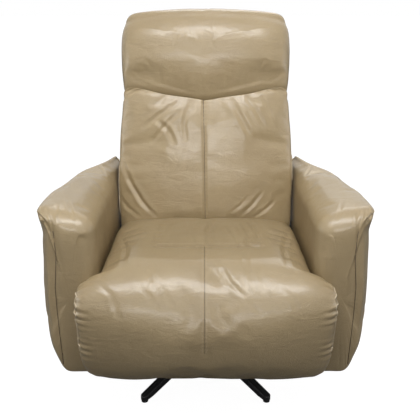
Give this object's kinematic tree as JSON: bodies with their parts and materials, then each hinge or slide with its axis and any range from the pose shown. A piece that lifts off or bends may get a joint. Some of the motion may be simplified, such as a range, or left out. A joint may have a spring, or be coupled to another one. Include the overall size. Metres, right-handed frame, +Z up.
{
  "type": "star base swivel recliner",
  "caption": "Padded tan leather armchair that swivels on a black star base; its back reclines, a linked footrest lifts and the headrest tilts.",
  "frame": {"origin": "on the floor, below the middle of the chair's width and depth; the swivel axis stands 31 mm behind it", "axes": "+Z up; the sitter faces -Y; +X is at the right in a view from the front"},
  "size_m": [0.8758, 0.74, 1.0958],
  "materials": {
    "frame_black": "matt black powder coat",
    "steel": "plain ground steel",
    "bush_plastic": "moulded black plastic",
    "timber": "sawn timber and plywood, unfinished",
    "webbing": "woven elastic strap",
    "tan_leather": "glossy tan leather with a fine grain",
    "tan_leather_rear": "glossy tan leather, flatter on the rear faces"
  },
  "bodies": {
    "base": {"base_hub": "frame_black", "base_arm_1": "frame_black", "base_arm_2": "frame_black", "base_arm_3": "frame_black", "base_arm_4": "frame_black", "base_arm_5": "frame_black", "base_glides": "bush_plastic", "base_column": "steel", "column_bush_upper": "bush_plastic", "column_bush_lower": "bush_plastic", "thrust_washer": "bush_plastic"},
    "seat": {"swivel_spindle": "steel", "spindle_clip": "steel", "swivel_plate": "frame_black", "chassis_tube_left": "frame_black", "chassis_tube_right": "frame_black", "chassis_bolts": "frame_black", "dust_cover": "bush_plastic", "seat_side_rail_left": "timber", "seat_side_rail_right": "timber", "seat_front_rail": "timber", "seat_rear_rail": "timber", "seat_webbing": "webbing", "rear_panel": "tan_leather_rear", "arm_panel_left": "timber", "arm_panel_right": "timber", "arm_batten_left": "timber", "arm_batten_right": "timber", "recline_bracket_left": "frame_black", "recline_bracket_right": "frame_black", "footrest_bracket_left": "frame_black", "footrest_bracket_right": "frame_black", "pivot_pins": "steel", "pivot_discs": "bush_plastic", "arm_upholstery_left": "tan_leather", "arm_upholstery_right": "tan_leather", "seat_cushion": "tan_leather"},
    "back": {"back_cushion": "tan_leather", "back_shell": "tan_leather_rear", "back_frame": "frame_black", "back_webbing": "webbing", "back_plate_left": "frame_black", "back_plate_right": "frame_black", "back_bolts": "frame_black", "back_crank_pins": "steel", "ratchet_brackets": "frame_black", "ratchet_pins": "steel"},
    "headrest": {"headrest_cushion": "tan_leather", "headrest_plate": "timber", "ratchet_arms": "frame_black"},
    "footrest": {"footrest_pad": "tan_leather", "footrest_board": "timber", "footrest_plate_left": "frame_black", "footrest_plate_right": "frame_black", "footrest_crank_pins": "steel"},
    "drive_links": {"drive_link_left": "frame_black", "drive_link_right": "frame_black"}
  },
  "joints": [
    {"name": "swivel", "type": "hinge", "parent": "base", "child": "seat", "pos_m": [0, 0.031, 0.125], "axis": [0, 0, 1], "continuous": true},
    {"name": "back_recline", "type": "hinge", "parent": "seat", "child": "back", "pos_m": [0, 0.199, 0.4], "axis": [-1, 0, 0], "range_deg": [0, 42]},
    {"name": "headrest_tilt", "type": "hinge", "parent": "back", "child": "headrest", "pos_m": [0, 0.28357, 0.8796], "axis": [1, 0, 0], "range_deg": [0, 25]},
    {"name": "footrest_lift", "type": "hinge", "parent": "seat", "child": "footrest", "pos_m": [0, -0.294, 0.38], "axis": [-1, 0, 0], "range_deg": [0, 85.1]},
    {"name": "link_swing", "type": "hinge", "parent": "back", "child": "drive_links", "pos_m": [0, 0.2205, 0.34398], "axis": [1, 0, 0], "range_deg": [0, 42]}
  ],
  "couplings": [
    {"joint": "footrest_lift", "follows": "back_recline", "ratio": 2.0238},
    {"joint": "link_swing", "follows": "back_recline", "ratio": 1}
  ]
}
